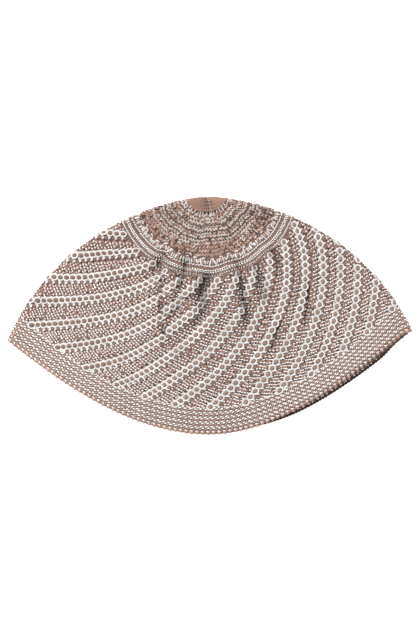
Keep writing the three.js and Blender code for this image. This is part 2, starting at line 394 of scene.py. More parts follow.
    def _gather(self, along: Array, across: Array, layer: Layer, half: Array) -> Gather:
        """What the creases of a layer do at each place.

        Args:
            along: places along the cap.
            across: places from -1 at the left fold to 1 at the right one.
            layer: which layer.
            half: half the layer's length at each place.

        Returns:
            How far the cloth sinks, moves and tilts.
        """
        gather = Gather(*(np.zeros_like(along) for _ in range(4)))
        for crease in self.creases:
            if crease.layer is not layer:
                continue
            share = (along - crease.along_from) / (crease.along_to - crease.along_from)
            fade = window(share, *self.crease_start, crease.hold, 1.0)
            centre = crease.across_from + (crease.across_to - crease.across_from) * share
            off = (across - centre) * half
            valley = bell(off, crease.width)
            bank = bell(off, self.bank_reach * crease.width)
            side = np.tanh(off / crease.width)
            near = np.exp(-np.abs(off) / crease.reach)
            bowl = (1 + self.bank_height) * valley - self.bank_height * bank
            gather.sink += fade * (crease.depth * bowl - crease.step * (1 + side) / 2 * near)
            gather.across -= fade * crease.pull * side * near
            squeeze = 1 - fade * crease.pull / crease.width * (1 - side**2)
            steep = (1 + self.bank_height) * valley - self.bank_height * bank / self.bank_reach**2
            fall = crease.depth * steep * -2 * off / crease.width**2
            edge = crease.step * (1 - side**2) / (2 * crease.width)
            gather.tilt += fade * (fall - edge) / np.maximum(squeeze, self.tightest_squeeze)
        gather.tilt = np.clip(gather.tilt, -self.steepest_tilt, self.steepest_tilt)
        if layer is Layer.UPPER:
            at_ring = window(along, *self.ripple_along)
            for ripple in self.ripples:
                gather.along += at_ring * ripple.shift * bell(across - ripple.across, ripple.width)
        return gather

    def lay(
        self,
        along: Array,
        around: Array,
        lift: Values,
        slant: Values = 0.0,
        sizes: Array | Triple = (1.0, 1.0, 1.0),
        lead: float = 0.0,
        seed: int = 1,
    ) -> StitchPlan:
        """Plan stitches on the outer face.

        Args:
            along: places along the cap.
            around: places round it.
            lift: height over the middle of the wall, in millimetres.
            slant: turn of each stitch from the round towards the hem, in radians.
            sizes: share of the stitch's own size, one row each or one for all.
            lead: turns round the cap for each unit along, where slant is measured from a winding rope.
            seed: fixes the shades.

        Returns:
            The plan, in metres.
        """
        point, outward = self.surface(along, around)
        t, u = (self.look_step, lead * self.look_step) if lead else (0.0, self.look_step)
        run = self.surface(along + t, around + u)[0] - self.surface(along - t, around - u)[0]
        run = unit(run - outward * np.sum(run * outward, axis=1, keepdims=True))
        turned = np.broadcast_to(slant, along.shape)[:, None]
        x_axis = run * np.cos(turned) + np.cross(outward, run) * np.sin(turned)
        axes = np.stack([x_axis, np.cross(outward, x_axis), outward], axis=2)
        raised = np.broadcast_to(lift, along.shape)[:, None]
        return StitchPlan(
            points=(point + outward * raised) * MM,
            turns=np.array([Matrix(m).to_quaternion() for m in axes]),
            sizes=np.array(np.broadcast_to(sizes, (along.size, 3))),
            shades=np.random.default_rng(seed).random(along.size),
            painted_shades=self.painted_shade(along, around),
        )


def place_object(name: str, data: bpy.types.ID) -> bpy.types.Object:
    """Make an object at the origin and link it into the scene.

    Args:
        name: its name.
        data: its mesh, light or camera.

    Returns:
        The object.
    """
    made = bpy.data.objects.new(name, data)
    bpy.context.scene.collection.objects.link(made)
    return made


def mark(mesh: bpy.types.Mesh, name: str, values: Array, kind: str = "FLOAT") -> None:
    """Give every point of a mesh a named value."""
    key = "vector" if kind == "FLOAT_VECTOR" else "value"
    mesh.attributes.new(name, kind, "POINT").data.foreach_set(key, values.ravel())


def flatten_on_floor(mesh: bpy.types.Mesh) -> None:
    """Press whatever would pass through the floor flat on it.

    Args:
        mesh: the mesh to press.
    """
    places = np.empty(len(mesh.vertices) * 3)
    mesh.vertices.foreach_get("co", places)
    places[2::3] = np.maximum(places[2::3], FLOOR_CLEARANCE)
    mesh.vertices.foreach_set("co", places)
    mesh.update()


def feed(tree: Tree, node: bpy.types.Node, inputs: NodeInputs) -> None:
    """Set or link some of a node's inputs.

    Args:
        tree: the node's tree.
        node: the node.
        inputs: fixed values or other nodes' outputs, by the input's name or number.
    """
    for name, value in inputs.items():
        if isinstance(value, Socket):
            tree.links.new(value, node.inputs[name])
        else:
            node.inputs[name].default_value = value


def add_node(tree: Tree, kind: str, out: str, inputs: NodeInputs, **options: object) -> Socket:
    """Add a node, with its options and inputs.

    Args:
        tree: where the node goes.
        kind: the node's type.
        out: the name of the output that is wanted.
        inputs: fixed values or other nodes' outputs, by the input's name or number.
        options: the node's own options by name.

    Returns:
        The output that is wanted.
    """
    node = tree.nodes.new(kind)
    for name, value in options.items():
        setattr(node, name, value)
    feed(tree, node, inputs)
    return node.outputs[out]


def multiply(tree: Tree, one: object, other: object) -> Socket:
    """Multiply two numbers, fixed ones or other nodes' outputs."""
    return add_node(tree, "ShaderNodeMath", "Value", {0: one, 1: other}, operation="MULTIPLY")


def mix_colours(tree: Tree, share: Socket, one: object, other: object, blend: str = "MIX") -> Socket:
    """Mix two colours.

    Args:
        tree: the material's tree.
        share: how much of the other colour there is.
        one: a fixed colour, or another node's output.
        other: a fixed colour, or another node's output.
        blend: how they are mixed.

    Returns:
        The mixed colour.
    """
    inputs: NodeInputs = {"Factor": share}
    for name, colour in (("A", one), ("B", other)):
        inputs[name] = (*colour, 1.0) if isinstance(colour, tuple) else colour
    return add_node(tree, "ShaderNodeMix", "Result", inputs, data_type="RGBA", blend_type=blend)


def read_mark(tree: Tree, name: str) -> Socket:
    """Read a value that the points of a mesh were given."""
    return add_node(tree, "ShaderNodeAttribute", "Fac", {}, attribute_name=name)


def with_painted_shade(tree: Tree, colour: Socket) -> Socket:
    """Darken a colour with painted shade where the cloth lies deep in a crease."""
    return mix_colours(tree, read_mark(tree, "painted_shade"), colour, DEEP_SHADE, "MULTIPLY")


@dataclass(frozen=True)
class Finish:
    """What a surface is made of."""

    name: str

    def dye(self, tree: Tree) -> NodeInputs:
        """Lay out the finish's nodes, and say what its shader is fed."""
        raise NotImplementedError

    def material(self) -> bpy.types.Material:
        """Make or fetch the finish's material.

        Returns:
            The material.
        """
        made = bpy.data.materials.get(self.name)
        if not made:
            made = bpy.data.materials.new(self.name)
            made.use_nodes = True
            tree = made.node_tree
            feed(tree, tree.nodes["Principled BSDF"], self.dye(tree))
        return made


@dataclass(frozen=True)
class YarnFinish(Finish):
    """Spun yarn: its two shades, what mottles it, how far its fibres stand up, and its sheen.

    Mottle and fuzz are noises, each with its scale and detail. Own shade is how much of the colour is each
    stitch's own.
    """

    dark: Triple
    light: Triple
    own_shade: float = 0.4
    mottle: Pair = (900.0, 3.0)
    fuzz: Pair = (3600.0, 4.0)
    fibre: float = 0.35
    fibre_height: float = 0.15
    sheen: float = 0.2

    def dye(self, tree: Tree) -> NodeInputs:
        """Mix the two shades, with painted shade in the creases, under a fuzz of fibres.

        Args:
            tree: the material's tree.

        Returns:
            What the shader is fed.
        """
        place = add_node(tree, "ShaderNodeTexCoord", "Object", {})
        mottle, fuzz = (
            add_node(tree, "ShaderNodeTexNoise", "Fac", {"Vector": place, "Scale": scale, "Detail": detail})
            for scale, detail in (self.mottle, self.fuzz)
        )
        own = multiply(tree, read_mark(tree, "shade"), self.own_shade)
        parts = {0: mottle, 1: 1 - self.own_shade, 2: own}
        share = add_node(tree, "ShaderNodeMath", "Value", parts, operation="MULTIPLY_ADD")
        colour = mix_colours(tree, share, self.dark, self.light)
        fibres = {"Height": fuzz, "Strength": self.fibre, "Distance": self.fibre_height * MM}
        return {
            "Base Color": with_painted_shade(tree, colour),
            "Normal": add_node(tree, "ShaderNodeBump", "Normal", fibres),
            "Roughness": 0.92,
            "Specular IOR Level": 0.15,
            "Sheen Weight": self.sheen,
            "Sheen Roughness": 0.6,
        }


@dataclass(frozen=True)
class BackingFinish(Finish):
    """The knit behind the stitches: brown yarn, partly painted shade, outside, and purl bars of two yarns
    inside.

    Rounds and wales are waves along the knit map: how far each is distorted, and the scale of its detail.
    """

    outside: Triple
    inside_dark: Triple = (0.22, 0.125, 0.09)
    inside_light: Triple = (0.46, 0.39, 0.345)
    rounds: Pair = (1.2, 3.0)
    wales: Pair = (0.6, 1.0)
    wave_scale: float = math.pi / 10
    bar_height: float = 0.6

    def dye(self, tree: Tree) -> NodeInputs:
        """Colour the two faces, with rounds and wales as bumps, and painted shade in the creases outside.

        Args:
            tree: the material's tree.

        Returns:
            What the shader is fed.
        """
        knit = add_node(tree, "ShaderNodeUVMap", "UV", {}, uv_map="knit")
        waves = []
        for way, (bend, fine) in (("Y", self.rounds), ("X", self.wales)):
            inputs = {"Vector": knit, "Scale": self.wave_scale, "Distortion": bend, "Detail Scale": fine}
            waves.append(add_node(tree, "ShaderNodeTexWave", "Fac", inputs, bands_direction=way))
        bars = mix_colours(tree, waves[0], self.inside_dark, self.inside_light)
        colour = mix_colours(tree, read_mark(tree, "inside"), self.outside, bars)
        relief = {"Height": multiply(tree, *waves), "Strength": 0.9, "Distance": self.bar_height * MM}
        return {
            "Base Color": with_painted_shade(tree, colour),
            "Normal": add_node(tree, "ShaderNodeBump", "Normal", relief),
            "Roughness": 0.95,
            "Specular IOR Level": 0.1,
            "Sheen Weight": 0.1,
        }


@dataclass(frozen=True)
class FloorFinish(Finish):
    """A pale floor that glows a little, as a light table does."""

    colour: Triple
    glow: float

    def dye(self, tree: Tree) -> NodeInputs:
        """Say what the shader is fed, which is plain values."""
        glow = {"Emission Color": (1.0, 1.0, 1.0, 1.0), "Emission Strength": self.glow}
        return {"Base Color": (*self.colour, 1.0), "Roughness": 0.9, **glow}


TAN = YarnFinish("tan_yarn", (0.28, 0.165, 0.125), (0.42, 0.265, 0.21))
WHITE = YarnFinish("white_yarn", (0.42, 0.42, 0.415), (0.68, 0.68, 0.67))
PALE = YarnFinish("pale_yarn", (0.41, 0.4, 0.39), (0.62, 0.61, 0.595))
SNOW = YarnFinish("snow_yarn", (0.5, 0.5, 0.495), (0.82, 0.82, 0.81))
COPPER = YarnFinish("copper_yarn", (0.3, 0.155, 0.11), (0.46, 0.265, 0.2))
# Dot tans: the tan yarn darkened as painted shade, as the dots lie recessed under the white borders
DOT = YarnFinish("dot_tan_with_painted_shade", (0.17, 0.105, 0.084), (0.29, 0.187, 0.15))
HALF_DOT = YarnFinish("half_dot_tan_with_painted_shade", (0.115, 0.066, 0.051), (0.2, 0.118, 0.092))
UMBER = YarnFinish("umber_yarn", (0.09, 0.05, 0.038), (0.17, 0.098, 0.076))
BROWN = YarnFinish("brown_yarn", (0.2, 0.108, 0.078), (0.33, 0.19, 0.142))
HEATHER = YarnFinish("heather_yarn", (0.33, 0.285, 0.265), (0.56, 0.515, 0.49))
# Near-black grains and cords of painted shadow, set where gaps and grooves between stitches lie in shade
SHADOW = YarnFinish("painted_shadow", (0.03, 0.018, 0.014), (0.08, 0.046, 0.035))
BACKING = BackingFinish("knit_backing", (0.2, 0.125, 0.1))
HEM_BACKING = BackingFinish("hem_backing", (0.34, 0.215, 0.165))
RING_BACKING = BackingFinish("ring_backing", (0.14, 0.088, 0.07))
CROWN_BACKING = BackingFinish("crown_backing", (0.17, 0.11, 0.088))
CENTRE_BACKING = BackingFinish("centre_backing", (0.28, 0.17, 0.13))
PALE_FLOOR = FloorFinish("pale_floor", (0.92, 0.92, 0.92), 0.9)


class Shape(Enum):
    """What is set on each point of a plan, or run along its edges."""

    GRAIN = "grain"
    LINK = "link"
    CORD = "cord"


@dataclass(frozen=True)
class Stitch:
    """A kind of stitch, with the Geometry Nodes tree that knits it over a plan.

    Length, width, height and sag are in millimetres, and sag is how far a link's two ends hang below its
    middle. Slant is the stitch's turn from the round, and lift its height over the middle of the wall. Sides
    and steps set how many faces it has.
    """

    name: str
    yarn: YarnFinish
    length: float
    width: float
    height: float
    slant: float
    lift: float
    _: KW_ONLY
    shape: Shape = Shape.GRAIN
    sag: float = 0.0
    sides: int = 6
    steps: int = 4

    def build(self) -> tuple[Tree, dict[str, str]]:
        """Build the tree.

        Returns:
            The tree, and each named input's identifier.
        """
        tree = bpy.data.node_groups.new(f"knit_{self.shape.value}", "GeometryNodeTree")
        kinds = {"Plan": "Geometry", "Yarn": "Material", "Sides": "Int", "Steps": "Int"}
        kinds.update(dict.fromkeys(("Length", "Width", "Height", "Sag"), "Float"))
        named = {}
        for name, kind in kinds.items():
            socket = tree.interface.new_socket(name, in_out="INPUT", socket_type=f"NodeSocket{kind}")
            named[name] = socket.identifier
        tree.interface.new_socket("Stitches", in_out="OUTPUT", socket_type="NodeSocketGeometry")
        given = tree.nodes.new("NodeGroupInput")
        makers = {Shape.GRAIN: self._grain, Shape.LINK: self._link, Shape.CORD: self._cord}
        knitted = makers[self.shape](tree, given.outputs)
        realized = add_node(tree, "GeometryNodeRealizeInstances", "Geometry", {"Geometry": knitted})
        rounded = add_node(tree, "GeometryNodeSetShadeSmooth", "Geometry", {"Geometry": realized})
        yarn = {"Geometry": rounded, "Material": given.outputs["Yarn"]}
        dyed = add_node(tree, "GeometryNodeSetMaterial", "Geometry", yarn)
        feed(tree, tree.nodes.new("NodeGroupOutput"), {"Stitches": dyed})
        return tree, named

    def _on_points(self, tree: Tree, given: Outputs, stitch: Socket) -> Socket:
        """Set a stitch on every point, turned and sized by the plan.

        Args:
            tree: the tree.
            given: its named inputs.
            stitch: the stitch's geometry.

        Returns:
            The instances.
        """
        turn, size = (
            add_node(tree, "GeometryNodeInputNamedAttribute", "Attribute", {"Name": name}, data_type=kind)
            for name, kind in (("turn", "QUATERNION"), ("size", "FLOAT_VECTOR"))
        )
        placing = {"Points": given["Plan"], "Instance": stitch, "Rotation": turn, "Scale": size}
        return add_node(tree, "GeometryNodeInstanceOnPoints", "Instances", placing)

    def _tube(self, tree: Tree, given: Outputs, path: Socket) -> Socket:
        """A round strand along a path, as thick as the stitch's height.

        Args:
            tree: the tree.
            given: its named inputs.
            path: the curve that the strand follows.

        Returns:
            The strand's mesh.
        """
        ring = {"Radius": multiply(tree, given["Height"], 0.5), "Resolution": given["Sides"]}
        section = add_node(tree, "GeometryNodeCurvePrimitiveCircle", "Curve", ring)
        return add_node(tree, "GeometryNodeCurveToMesh", "Mesh", {"Curve": path, "Profile Curve": section})

    def _grain(self, tree: Tree, given: Outputs) -> Socket:
        """A plump stitch, longest along its own X.

        Args:
            tree: the tree.
            given: its named inputs.

        Returns:
            The stitches.
        """
        round_ball = {"Radius": 0.5, "Segments": given["Sides"], "Rings": given["Steps"]}
        ball = add_node(tree, "GeometryNodeMeshUVSphere", "Mesh", round_ball)
        lying = {"Geometry": ball, "Rotation": (0.0, math.pi / 2, 0.0)}
        laid = add_node(tree, "GeometryNodeTransform", "Geometry", lying)
        parts = {"X": given["Length"], "Y": given["Width"], "Z": given["Height"]}
        size = add_node(tree, "ShaderNodeCombineXYZ", "Vector", parts)
        grain = add_node(tree, "GeometryNodeTransform", "Geometry", {"Geometry": laid, "Scale": size})
        return self._on_points(tree, given, grain)

    def _link(self, tree: Tree, given: Outputs) -> Socket:
        """A six-sided loop of yarn whose two flat ends sag, as thick as its height.

        Args:
            tree: the tree.
            given: its named inputs.

        Returns:
            The stitches.
        """
        sides = 6
        half_side = math.pi / sides
        to_flat = math.cos(half_side)
        hexagon = {"Radius": 0.5, "Resolution": sides}
        loop = add_node(tree, "GeometryNodeCurvePrimitiveCircle", "Curve", hexagon)
        turned = {"Geometry": loop, "Rotation": (0.0, 0.0, half_side)}
        loop = add_node(tree, "GeometryNodeTransform", "Geometry", turned)
        corners = {"Curve": loop, "Radius": 0.16, "Limit Radius": True, "Count": given["Steps"]}
        loop = add_node(tree, "GeometryNodeFilletCurve", "Curve", corners, mode="POLY")
        place = add_node(tree, "GeometryNodeInputPosition", "Position", {})
        x = add_node(tree, "ShaderNodeSeparateXYZ", "X", {"Vector": place})
        fall = multiply(tree, multiply(tree, x, x), -1 / (0.5 * to_flat) ** 2)
        drop = add_node(tree, "ShaderNodeCombineXYZ", "Vector", {"Z": multiply(tree, fall, given["Sag"])})
        loop = add_node(tree, "GeometryNodeSetPosition", "Geometry", {"Geometry": loop, "Offset": drop})
        parts = {"X": multiply(tree, given["Length"], 1 / to_flat), "Y": given["Width"], "Z": 1.0}
        size = add_node(tree, "ShaderNodeCombineXYZ", "Vector", parts)
        loop = add_node(tree, "GeometryNodeTransform", "Geometry", {"Geometry": loop, "Scale": size})
        return self._on_points(tree, given, self._tube(tree, given, loop))

    def _cord(self, tree: Tree, given: Outputs) -> Socket:
        """A cord along the plan's edges, as thick as its height."""
        path = add_node(tree, "GeometryNodeMeshToCurve", "Curve", {"Mesh": given["Plan"]})
        return self._tube(tree, given, path)

    def knit(self, name: str, plan: StitchPlan) -> bpy.types.Object:
        """Run the tree over a plan and keep the result as a plain mesh.

        Args:
            name: the piece's name.
            plan: where the stitches go. For a cord, its points are the corners of one closed path.

        Returns:
            The finished piece.
        """
        count = len(plan.points)
        edges = [(k, (k + 1) % count) for k in range(count)] if self.shape is Shape.CORD else []
        mesh = bpy.data.meshes.new(f"{name}_plan")
        mesh.from_pydata(plan.points.tolist(), edges, [])
        mark(mesh, "turn", plan.turns, "QUATERNION")
        mark(mesh, "size", plan.sizes, "FLOAT_VECTOR")
        mark(mesh, "shade", plan.shades)
        # painted shade of the creases, read by the yarn's material
        mark(mesh, "painted_shade", plan.painted_shades)
        holder = place_object(f"{name}_plan", mesh)
        tree, named = self.build()
        modifier = holder.modifiers.new("knit", "NODES")
        modifier.node_group = tree
        settings = {
            "Length": self.length * MM,
            "Width": self.width * MM,
            "Height": self.height * MM,
            "Sag": self.sag * MM,
            "Sides": self.sides,
            "Steps": self.steps,
            "Yarn": self.yarn.material(),
        }
        for label, value in settings.items():
            modifier[named[label]] = value
        evaluated = holder.evaluated_get(bpy.context.evaluated_depsgraph_get())
        made = bpy.data.meshes.new_from_object(evaluated)
        holder.modifiers.remove(modifier)
        bpy.data.objects.remove(holder)
        bpy.data.meshes.remove(mesh)
        made.name = name
        flatten_on_floor(made)
        return place_object(name, made)


@dataclass
class KnitZone:
    """One knitted zone of the cap, from its start along the cap to its end: a backing and its stitches."""

    form: CapForm
    node: str
    start: float
    end: float
    backing_rows: int = 24
    backing_columns: int = 360
    backing_outer: float = 0.45
    backing_inner: float = 1.2
    backing_finish: BackingFinish = BACKING
    backing_hole: float = 1e-4
    wales: int = 168
    rounds: int = 28
    fewest_stitches: int = 6

    def dress(self) -> None:
        """Knit the zone's stitches."""
        raise NotImplementedError

    def keep(self, piece: bpy.types.Object) -> None:
        """Seat a finished piece on the frame in place of this zone's node.

        Args:
            piece: the finished piece.
        """
        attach(piece, "root")
        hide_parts(self.node)
        faces = sum(len(p.vertices) - 2 for p in piece.data.polygons)
        LOG.info("%s: %d triangles", piece.name, faces)

    def relief(self, along: Array, around: Array) -> Array:
        """Height of the backing's outer face over its plain level, in millimetres."""
        return np.zeros_like(along)

    def painted_shade(self, along: Array, around: Array) -> Array:
        """How much painted shade the backing's outer face gets, from how deep it lies, 0 to 1."""
        return self.form.painted_shade(along, around)

    def backing(self) -> None:
        """Build the closed backing wall, with a knit map and a mark on its inner face."""
        rows, columns = self.backing_rows, self.backing_columns
        along = np.repeat(self.start + (self.end - self.start) * np.linspace(0.0, 1.0, rows), columns)
        around = np.tile(np.arange(columns) / columns, rows)
        along[along == 0.0] = self.backing_hole
        middle, outward = self.form.surface(along, around, tilted=False)
        outer = middle + outward * (self.backing_outer + self.relief(along, around))[:, None]
        inner = middle - outward * self.backing_inner
        points = np.concatenate([outer, inner]) * MM
        index = np.arange(rows * columns).reshape(rows, columns)
        after = np.roll(index, -1, axis=1)
        skin = np.stack([index[:-1], after[:-1], after[1:], index[1:]], axis=-1).reshape(-1, 4)
        shift = rows * columns
        top = np.stack([index[0], index[0] + shift, after[0] + shift, after[0]], axis=-1)
        bottom = np.stack([index[-1], after[-1], after[-1] + shift, index[-1] + shift], axis=-1)
        faces = np.concatenate([skin, skin[:, ::-1] + shift, top, bottom])
        mesh = bpy.data.meshes.new(f"{self.node}_backing")
        mesh.from_pydata(points.tolist(), [], faces.tolist())
        mark(mesh, "inside", np.repeat([0.0, 1.0], shift))
        # painted shade of the creases on the outer face, none inside
        mark(mesh, "painted_shade", np.concatenate([self.painted_shade(along, around), np.zeros(shift)]))
        self._knit_map(mesh, along, around, shift)
        mesh.polygons.foreach_set("use_smooth", np.ones(len(faces), bool))
        mesh.materials.append(self.backing_finish.material())
        flatten_on_floor(mesh)
        self.keep(place_object(mesh.name, mesh))

    def _knit_map(self, mesh: bpy.types.Mesh, along: Array, around: Array, shift: int) -> None:
        """Give the backing a UV map that counts wales and rounds.

        Args:
            mesh: the backing.
            along: places along the cap, one for each outer point.
            around: places round it.
            shift: how many outer points there are.
        """
        corners = np.empty(len(mesh.loops), int)
        mesh.loops.foreach_get("vertex_index", corners)
        corners = corners % shift
        turn = around[corners].reshape(-1, 4)
        turn = np.where((turn.max(axis=1, keepdims=True) - turn) > 0.5, turn + 1.0, turn).ravel()
        share = (along[corners] - self.start) / (self.end - self.start)
        knit = np.stack([turn * self.wales, share * self.rounds], axis=1)
        mesh.uv_layers.new(name="knit").data.foreach_set("uv", knit.ravel())

    def stitch(self, kind: Stitch, plan: StitchPlan) -> None:
        """Knit one kind of stitch over a plan and keep it."""
        self.keep(kind.knit(f"{self.node}_{kind.name}", plan))

    def spots(self, along: float, pitch: float, offset: float) -> tuple[Array, Array]:
        """Places along and around of one round, with a pitch in millimetres and an offset in stitches."""
        count = max(self.fewest_stitches, round(float(self.form.round_length(along)) / pitch))
        return np.full(count, along), (np.arange(count) + offset) / count


@dataclass
class CrownCentre(KnitZone):
    """The plain centre of the crown, drawn up in pleats of tan yarn with a few pale strands."""

    backing_rows: int = 8
    backing_columns: int = 624
    backing_finish: BackingFinish = CENTRE_BACKING
    wales: int = 56
    rounds: int = 6
    pleats: int = 52
    pleat_depth: float = 0.8
    pleat_level: float = 0.4
    pleats_start: Pair = (0.0, 0.03)
    # How dark the painted shade in the deepest grooves is
    groove_shade: float = 0.5
    groove_even: float = 0.6
    groove_uneven: float = 0.4
    groove_change: float = 2.3
    strand_grooves: tuple[int, ...] = (11, 31, 44)
    strand_from: float = 0.02
    strand_to: float = 0.08
    strand_steps: int = 6
    strand_seed: int = 11
    strand: Stitch = Stitch("strands", HEATHER, 2.6, 0.5, 0.5, DOWN, 0.45)

    def fold(self, around: Array) -> Array:
        """Height of the pleats, from 0 in the grooves to 1."""
        return np.sqrt(np.abs(np.sin(math.pi * self.pleats * around)))

    def relief(self, along: Array, around: Array) -> Array:
        """Height of the pleats over the plain level."""
        return self.pleat_depth * smooth(along, *self.pleats_start) * (self.fold(around) - self.pleat_level)

    def groove_share(self, around: Array) -> Array:
        """Share of the full painted shade that each groove has, because some are shallower."""
        number = np.round(self.pleats * around)
        return self.groove_even + self.groove_uneven * np.sin(self.groove_change * number)

    def painted_shade(self, along: Array, around: Array) -> Array:
        """Painted shade in the grooves between pleats, from how deep places lie in them."""
        deep = self.groove_shade * self.groove_share(around) * smooth(along, *self.pleats_start)
        return deep * (1 - self.fold(around))

    def dress(self) -> None:
        """Lay pale strands in some of the grooves."""
        grooves = np.array(self.strand_grooves) / self.pleats
        along = np.tile(np.linspace(self.strand_from, self.strand_to, self.strand_steps), len(grooves))
        around = np.repeat(grooves, self.strand_steps)
        kind = self.strand
        self.stitch(kind, self.form.lay(along, around, kind.lift, kind.slant, seed=self.strand_seed))


@dataclass(frozen=True)
class SpokeRow(Stitch):
    """Stitches that point at the crown's centre: how many, where, how far they stray, and their lengths."""

    count: int
    along: float
    stray_along: Pair
    stray_around: float
    stray_slant: float
    lengths: Pair
    seed: int


@dataclass
class Crown(KnitZone):
    """The crown's rounds of mixed pale, tan and brown stitches, with dark lines of painted shadow between
    some.

    A limit of the mix is where it lies among the draws on the open crown, and how much lower near the ring. A
    wave is how many times it goes round the cap, and where it starts.
    """

    backing_finish: BackingFinish = CROWN_BACKING
    wales: int = 72
    rounds: int = 12
    first_round: float = 0.0955
    round_step: float = 0.0148
    rounds_knitted: int = 12
    stitch_pitch: float = 1.8
    leg: Stitch = Stitch("stitches", TAN, 1.0, 0.82, 0.95, DOWN, 0.75)
    leg_off: float = 0.25
    leg_splay: float = 0.4
    leg_length: float = 2.1
    stray_along: float = 0.0009
    stray_slant: float = 0.2
    stray_length: float = 0.25
    pale_limit: Pair = (0.6, 0.4)
    brown_limit: Pair = (0.84, 0.22)
    dark_limit: Pair = (0.93, 0.14)
    near_ring: Pair = (0.215, 0.235)
    slow_wave: Pair = (7, 0.1)
    quick_wave: Pair = (17, 0.4)
    slow_sway: float = 0.0025
    right_sway: float = 0.003
    quick_sway: float = 0.0018
    right_ends: Pair = (0.15, 0.3)
    # The lines are cords of painted shadow in the grooves between rounds
    line: Stitch = Stitch("line", SHADOW, 0.0, 0.0, 0.62, 0.0, 0.88, shape=Shape.CORD, sides=5)
    lines: tuple[float, ...] = (0.1365, 0.1645, 0.19)
    line_reach: float = 0.005
    line_sink: float = 0.45
    line_points: int = 360
    line_jags: int = 60
    line_jag: float = 0.0045
    line_shift: float = 0.3
    spokes: tuple[SpokeRow, ...] = (
        SpokeRow(
            "slots", UMBER, 2.6, 0.6, 0.55, DOWN, 0.9, 62, 0.203, (-0.006, 0.006), 0.15, 0.2, (0.6, 1.3), 23
        ),
        SpokeRow(
            "spikes", HEATHER, 3.0, 0.8, 0.9, DOWN, 0.7, 40, 0.085, (-0.008, 0.006), 0.3, 0.15, (0.7, 1.3), 22
        ),
    )
    draw_seed: int = 20
    leg_seed: int = 21
    line_seed: int = 24

    def mix(self, along: Array, draw: Array) -> dict[YarnFinish, Array]:
        """Choose each stitch's yarn: mostly pale, and browner near the ring, with some grains of painted
        shadow.

        Args:
            along: places along the cap.
            draw: one random share for each stitch.

        Returns:
            Which stitches each yarn takes.
        """
        lower = smooth(along, *self.near_ring)
        limits = (self.pale_limit, self.brown_limit, self.dark_limit)
        pale, brown, dark = (limit - drop * lower for limit, drop in limits)
        return {
            HEATHER: draw < pale,
            TAN: (draw >= pale) & (draw <= brown),
            BROWN: (draw > brown) & (draw <= dark),
            SHADOW: draw > dark,
        }

    def sway(self, around: Array) -> Array:
        """How far a round strays along the cap from its even place, more so at the right.

        Args:
            around: places round the cap.

        Returns:
            How far each place strays.
        """
        right = 1 - smooth(around % 1.0, *self.right_ends)
        waves = (self.slow_wave, self.quick_wave)
        slow, quick = (np.sin(2 * math.pi * (times * around + start)) for times, start in waves)
        return (self.slow_sway + self.right_sway * right) * slow + self.quick_sway * quick

    def beside_line(self, along: Array, around: Array) -> Array:
        """How near each place is to one of the lines, from 0 to 1."""
        straight = along - self.sway(around)
        return sum(bell(straight - line, self.line_reach) for line in self.lines)

    def dress(self) -> None:
        """Knit the rounds as paired legs, with dark lines between some, and spikes into the centre."""
        rng = np.random.default_rng(self.draw_seed)
        legs = []
        for k in range(self.rounds_knitted):
            t, u = self.spots(self.first_round + k * self.round_step, self.stitch_pitch, 0.5 * (k % 2))
            for side in (-1.0, 1.0):
                along = t + self.sway(u) + rng.normal(0.0, self.stray_along, len(u))
                around = u + side * self.leg_off / len(u)
                slant = self.leg.slant + side * self.leg_splay + rng.normal(0.0, self.stray_slant, len(u))
                length = self.leg_length + rng.normal(0.0, self.stray_length, len(u))
                legs.append((along, around, slant, length))
        along, around, slant, length = (np.concatenate(part) for part in zip(*legs))
        sizes = np.ones((len(along), 3))
        sizes[:, 0] = length
        for yarn, chosen in self.mix(along, rng.random(len(along))).items():
            t, u = along[chosen], around[chosen]
            lift = self.leg.lift - self.line_sink * self.beside_line(t, u)
            plan = self.form.lay(t, u, lift, slant[chosen], sizes[chosen], seed=self.leg_seed)
            self.stitch(replace(self.leg, name=f"stitches_{yarn.name}", yarn=yarn), plan)
        self._lines()
        for row in self.spokes:
            self._spokes(row, rng)

    def _lines(self) -> None:
        """Run dark wavy lines of painted shadow between some of the rounds."""
        around = np.arange(self.line_points) / self.line_points
        for k, place in enumerate(self.lines):
            jag = self.line_jag * np.abs((around * self.line_jags + self.line_shift * k) % 1.0 - 0.5)
            along = place + self.sway(around) + jag
            plan = self.form.lay(along, around, self.line.lift, seed=self.line_seed + k)
            self.stitch(replace(self.line, name=f"line_{k + 1}"), plan)

    def _spokes(self, row: SpokeRow, rng: np.random.Generator) -> None:
        """Set a row of stitches of uneven length that point at the centre.

        Args:
            row: the row.
            rng: where their places and lengths are drawn from.
        """
        count = row.count
        around = (np.arange(count) + rng.uniform(-row.stray_around, row.stray_around, count)) / count
        along = row.along + rng.uniform(*row.stray_along, count)
        sizes = np.ones((count, 3))
        sizes[:, 0] = rng.uniform(*row.lengths, count)
        slant = row.slant + rng.normal(0.0, row.stray_slant, count)
        self.stitch(row, self.form.lay(along, around, row.lift, slant, sizes, seed=row.seed))


@dataclass(frozen=True)
class RowStitch(Stitch):
    """A stitch of a plain row, which has fewer sides."""

    _: KW_ONLY
    sides: int = 5


@dataclass(frozen=True)
class RingRow(RowStitch):
    """A row of the crown's ring: its place along the cap and its stitches' pitch."""

    along: float
    pitch: float


@dataclass(frozen=True)
class ArchStitch(Stitch):
    """A stitch of every arch: its share of the way from foot to foot, and its place along the cap."""

    share: float
    along: float


